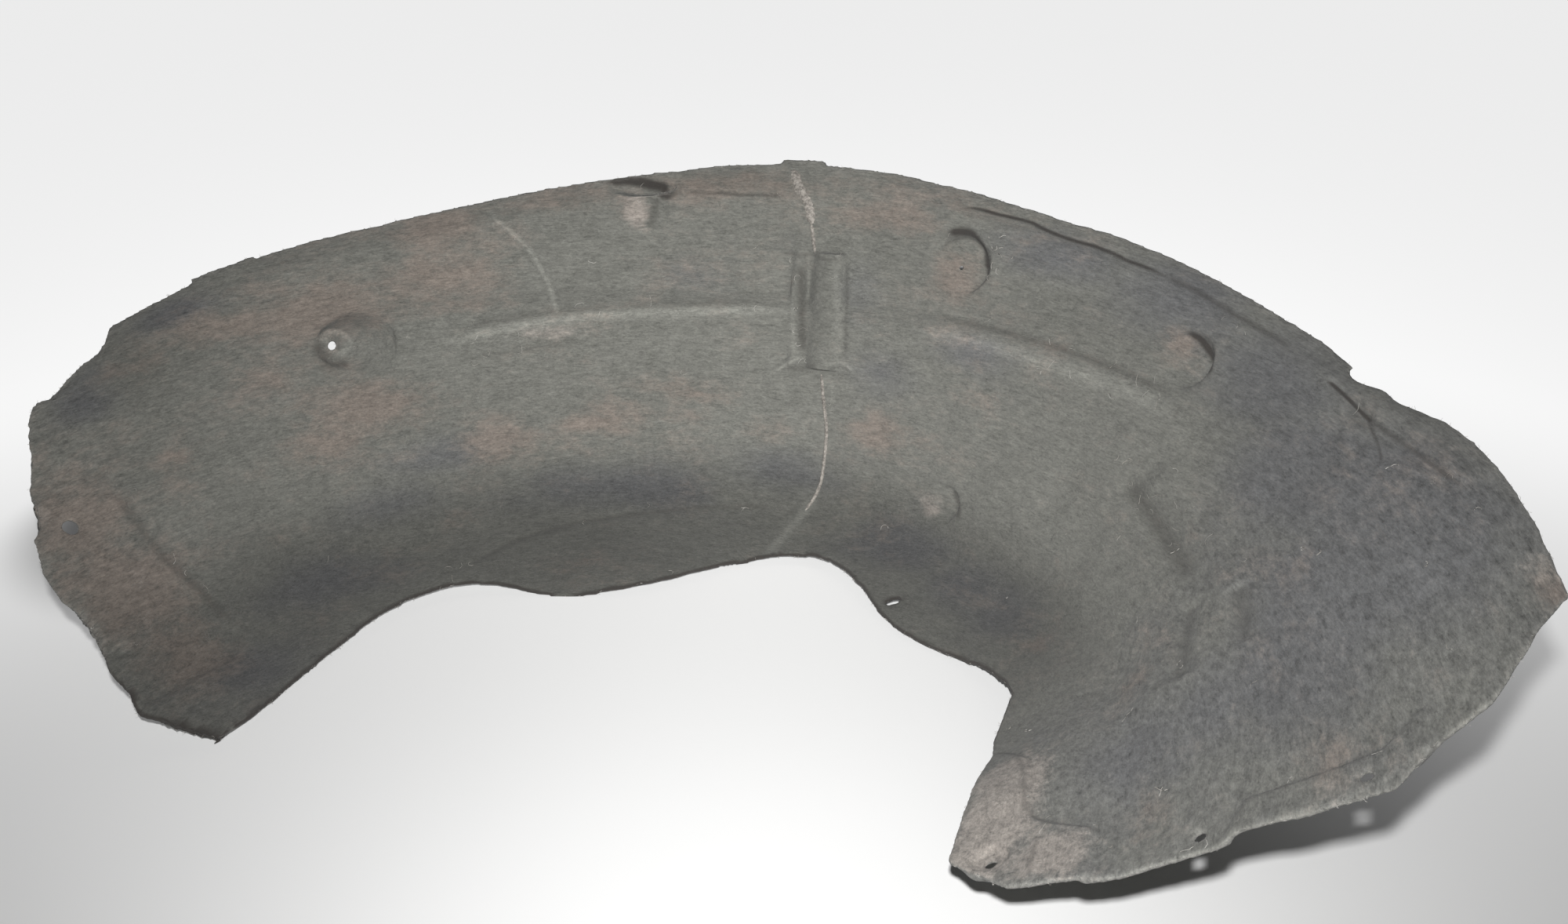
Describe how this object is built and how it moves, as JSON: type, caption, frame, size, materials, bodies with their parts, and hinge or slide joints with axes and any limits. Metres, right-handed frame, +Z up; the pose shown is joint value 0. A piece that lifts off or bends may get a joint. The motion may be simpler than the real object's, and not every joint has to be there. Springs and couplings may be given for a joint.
{
  "type": "wheel arch liner",
  "caption": "Moulded felt shell that lines a car's wheel arch: curved tread with a ledge and rib, bent rim flange, inner lip, pressed end flanges and fastening seats.",
  "frame": {"origin": "middle of the bounding box on the floor that the inner lip rests on", "axes": "+X along the arch from its end flange to its foot, +Y from the wheel space to the crown of the arch, +Z up along the wheel axis, from the inner lip to the outer rim"},
  "size_m": [0.9534, 0.6798, 0.3139],
  "materials": {
    "felt": "matte grey needle felt, dusty and worn"
  },
  "bodies": {
    "root": {"wheel_arch_liner": "felt"}
  },
  "joints": []
}
